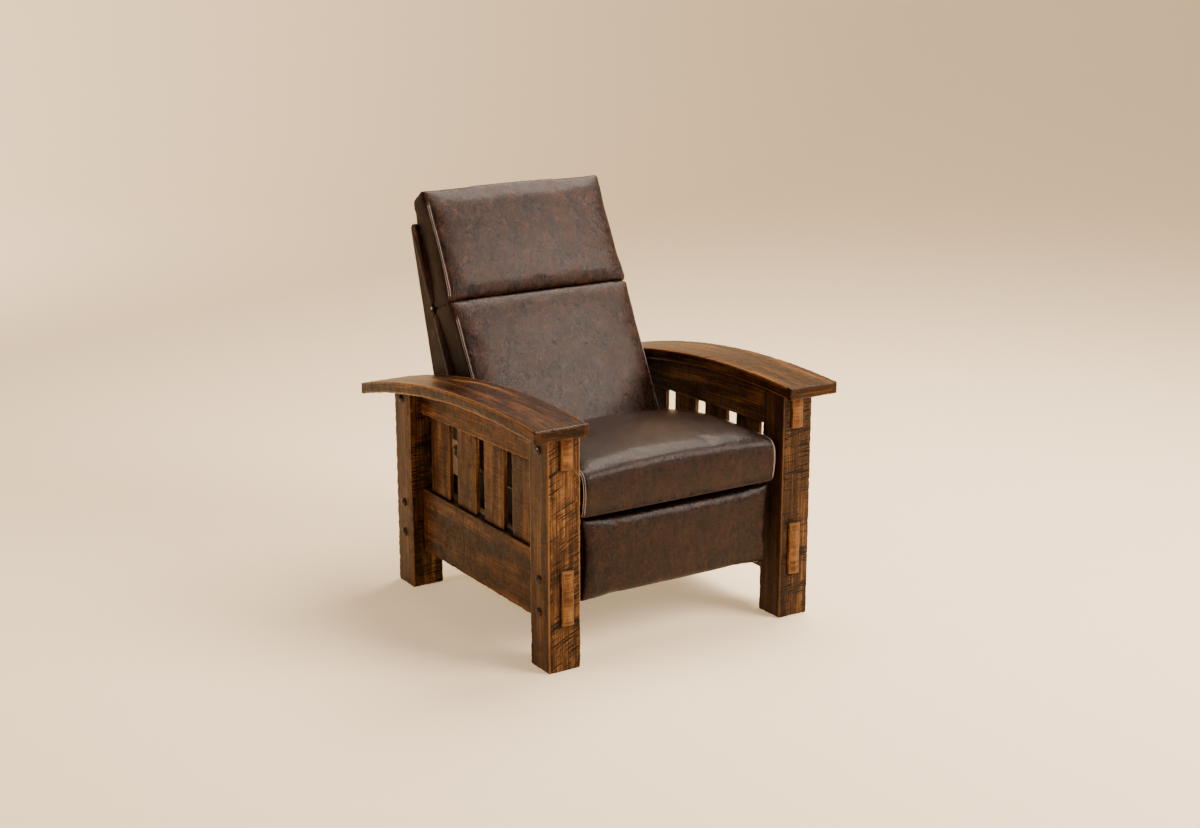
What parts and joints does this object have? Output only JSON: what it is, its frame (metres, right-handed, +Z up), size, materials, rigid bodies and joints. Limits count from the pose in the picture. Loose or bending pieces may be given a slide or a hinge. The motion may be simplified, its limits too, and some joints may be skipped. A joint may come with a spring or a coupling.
{
  "type": "recliner",
  "caption": "Rustic reclining armchair with bowed arms, slatted sides, pegged tenons, leather cushions, a gliding seat and a folding footrest.",
  "frame": {"origin": "on the floor, under the middle of the whole chair's bounding box", "axes": "+Z up, -Y to the front, +X to the right seen from the front"},
  "size_m": [0.877, 0.9213, 1.0458],
  "materials": {
    "side_wood": "rough-sawn, brown stain, satin lacquer",
    "arm_wood": "brown stain, satin lacquer, worn edges",
    "peg_wood": "dark stain, satin lacquer",
    "frame_wood": "planed, unfinished",
    "plywood": "sanded plywood",
    "leather": "mottled dark brown, semi-gloss",
    "mechanism_steel": "black powder coat",
    "zinc_hardware": "zinc plated",
    "spring_wire": "oil-blackened wire",
    "nylon": "natural nylon",
    "webbing": "woven elastic webbing"
  },
  "bodies": {
    "frame": {"front_post_left": "side_wood", "front_post_right": "side_wood", "rear_post_left": "side_wood", "rear_post_right": "side_wood", "arm_left": "arm_wood", "arm_right": "arm_wood", "lower_rail_left": "side_wood", "lower_rail_right": "side_wood", "upper_rail_left": "side_wood", "upper_rail_right": "side_wood", "slats_left": "side_wood", "slats_right": "side_wood", "pegs_left": "peg_wood", "pegs_right": "peg_wood", "rear_stretcher": "side_wood", "centre_stretcher": "side_wood", "cleats": "frame_wood", "track_left": "mechanism_steel", "track_right": "mechanism_steel", "track_bolts": "zinc_hardware"},
    "seat": {"seat_plate_left": "mechanism_steel", "seat_plate_right": "mechanism_steel", "glide_blocks": "nylon", "glide_studs": "zinc_hardware", "seat_box_sides": "frame_wood", "seat_box_front": "frame_wood", "seat_box_rear": "frame_wood", "seat_springs": "spring_wire", "seat_cushion": "leather", "seat_pivot_pins": "zinc_hardware"},
    "back": {"back_side_board_left": "frame_wood", "back_side_board_right": "frame_wood", "back_top_rail": "frame_wood", "back_middle_rail": "frame_wood", "back_bottom_rail": "frame_wood", "back_webbing": "webbing", "outer_back": "leather", "channel_nails": "zinc_hardware", "lumbar_cushion": "leather", "head_cushion": "leather", "recline_brackets": "mechanism_steel", "bracket_bolts": "zinc_hardware", "recline_pins": "zinc_hardware"},
    "front_links": {"front_link_left": "mechanism_steel", "front_link_right": "mechanism_steel", "front_link_pins": "zinc_hardware", "torque_tube": "mechanism_steel"},
    "rear_links": {"rear_link_left": "mechanism_steel", "rear_link_right": "mechanism_steel", "rear_link_pins": "zinc_hardware"},
    "main_links": {"main_link_left": "mechanism_steel", "main_link_right": "mechanism_steel"},
    "control_links": {"control_link_left": "mechanism_steel", "control_link_right": "mechanism_steel"},
    "footrest": {"footrest_board": "plywood", "footrest_brackets": "mechanism_steel", "footrest_bolts": "zinc_hardware", "footrest_pad": "leather", "footrest_pins": "zinc_hardware"}
  },
  "joints": [
    {"name": "seat_glide", "type": "slide", "parent": "frame", "child": "seat", "axis": [0, -0.9986, 0.0523], "range_m": [0, 0.05]},
    {"name": "back_recline", "type": "hinge", "parent": "seat", "child": "back", "pos_m": [0, 0.1654, 0.33], "axis": [-1, 0, 0], "range_deg": [0, 28]},
    {"name": "footrest_extend", "type": "hinge", "parent": "seat", "child": "front_links", "pos_m": [0, -0.1446, 0.29], "axis": [-1, 0, 0], "range_deg": [0, 85]},
    {"name": "rear_link_swing", "type": "hinge", "parent": "seat", "child": "rear_links", "pos_m": [0, -0.0796, 0.29], "axis": [-1, 0, 0], "range_deg": [0, 85]},
    {"name": "main_link_turn", "type": "hinge", "parent": "front_links", "child": "main_links", "pos_m": [0, -0.04951, 0.08608], "axis": [-1, 0, 0], "range_deg": [-85, 0]},
    {"name": "control_link_turn", "type": "hinge", "parent": "front_links", "child": "control_links", "pos_m": [0, -0.06473, 0.11871], "axis": [-1, 0, 0], "range_deg": [-85, 0]},
    {"name": "footrest_tilt", "type": "hinge", "parent": "main_links", "child": "footrest", "pos_m": [0, -0.3206, 0.272], "axis": [-1, 0, 0], "range_deg": [0, 85]}
  ],
  "couplings": [
    {"joint": "seat_glide", "follows": "back_recline", "m_per_rad": 0.1023},
    {"joint": "rear_link_swing", "follows": "footrest_extend", "ratio": 1},
    {"joint": "main_link_turn", "follows": "footrest_extend", "ratio": -1},
    {"joint": "control_link_turn", "follows": "footrest_extend", "ratio": -1},
    {"joint": "footrest_tilt", "follows": "footrest_extend", "ratio": 1}
  ]
}
